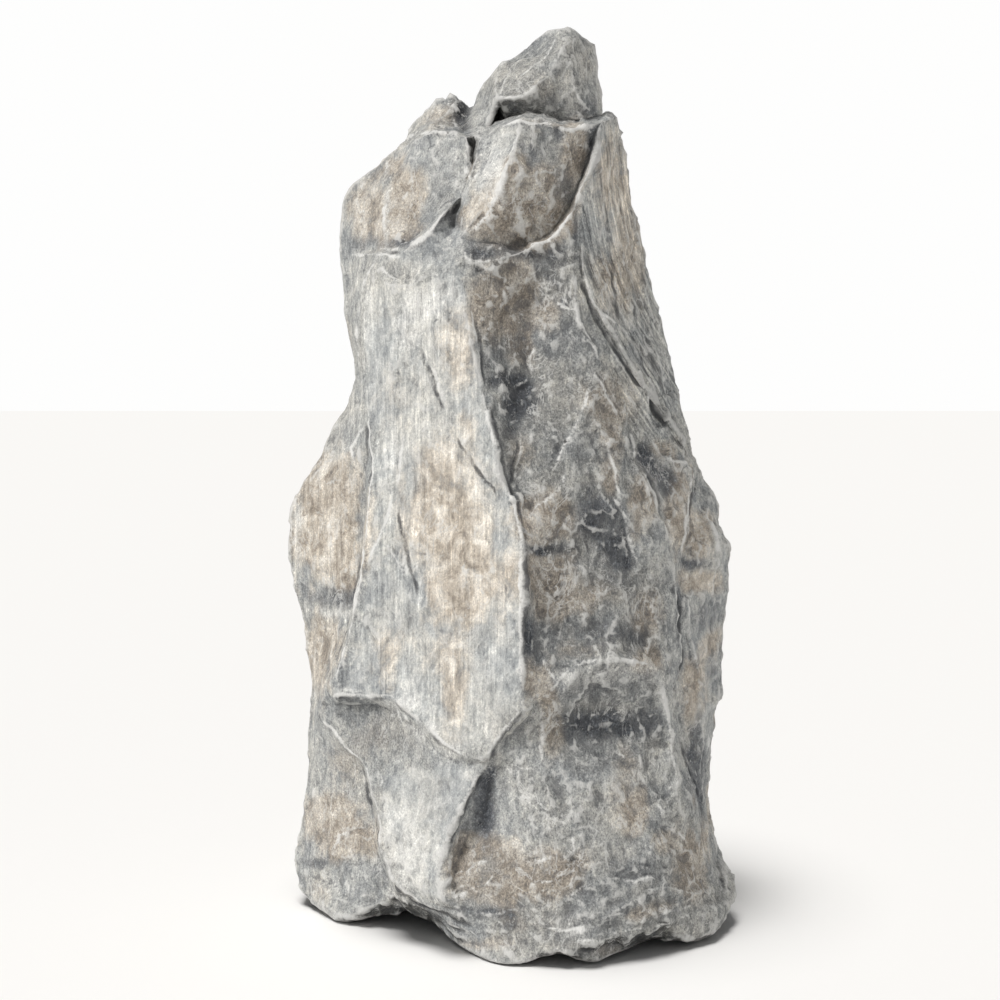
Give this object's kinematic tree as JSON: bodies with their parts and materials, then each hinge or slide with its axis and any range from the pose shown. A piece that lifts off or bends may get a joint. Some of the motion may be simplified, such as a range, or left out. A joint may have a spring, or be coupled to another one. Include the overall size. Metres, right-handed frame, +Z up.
{
  "type": "boulder",
  "caption": "Tall standing boulder of banded grey stone with tan patches, a ledged top, a leaning peak and a long split face, 1.5 m high.",
  "frame": {"origin": "centre of the bounding box at ground level, where the stone stands", "axes": "+Z up, the long split face towards -Y, +X to the right of a viewer facing it"},
  "size_m": [0.7812, 0.6066, 1.5214],
  "materials": {
    "banded_stone": "weathered matt stone, blue-grey with pale worn edges, tan patches and dark bands"
  },
  "bodies": {
    "root": {"boulder": "banded_stone"}
  },
  "joints": []
}
